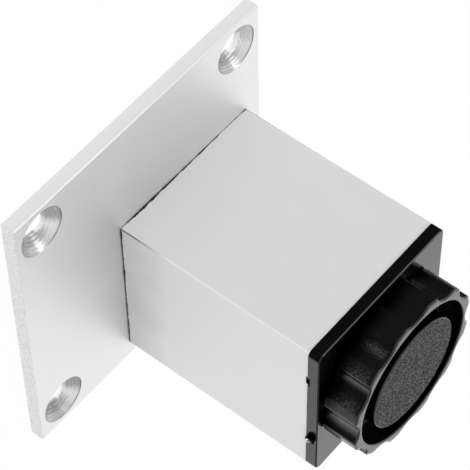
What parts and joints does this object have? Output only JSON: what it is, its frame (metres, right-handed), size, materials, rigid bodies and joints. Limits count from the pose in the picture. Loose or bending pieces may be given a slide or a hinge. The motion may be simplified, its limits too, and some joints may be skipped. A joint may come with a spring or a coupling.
{
  "type": "adjustable furniture leg",
  "caption": "Short square metal furniture leg near one corner of a square screw-on plate, with a fluted black screw foot that adjusts its height.",
  "frame": {"origin": "where the tube's axis meets the plate's mounting face", "axes": "+Z along the tube towards the foot; the plate reaches further towards +X and -Y, with its sides along X and Y"},
  "size_m": [0.072, 0.072, 0.0622],
  "materials": {
    "plate_aluminium": "satin anodised, sawn on two sides, turned countersinks",
    "tube_aluminium": "satin anodised extrusion",
    "zinc_steel": "zinc plated",
    "plug_plastic": "smooth moulded",
    "foot_plastic": "moulded, spark-eroded on the flutes and hub"
  },
  "bodies": {
    "leg": {"mounting_plate": "plate_aluminium", "square_tube": "tube_aluminium", "plate_screws": "zinc_steel", "end_plug": "plug_plastic", "threaded_insert": "zinc_steel"},
    "stud": {"adjuster_stud": "zinc_steel"},
    "foot": {"foot_knob": "foot_plastic"}
  },
  "joints": [
    {"name": "stud_travel", "type": "slide", "parent": "leg", "child": "stud", "axis": [0, 0, 1], "range_m": [0, 0.015]},
    {"name": "foot_turn", "type": "hinge", "parent": "stud", "child": "foot", "pos_m": [0, 0, 0.0539], "axis": [0, 0, 1], "range_deg": [0, 3600]}
  ],
  "couplings": [
    {"joint": "stud_travel", "follows": "foot_turn", "m_per_rad": 0.00023873}
  ]
}
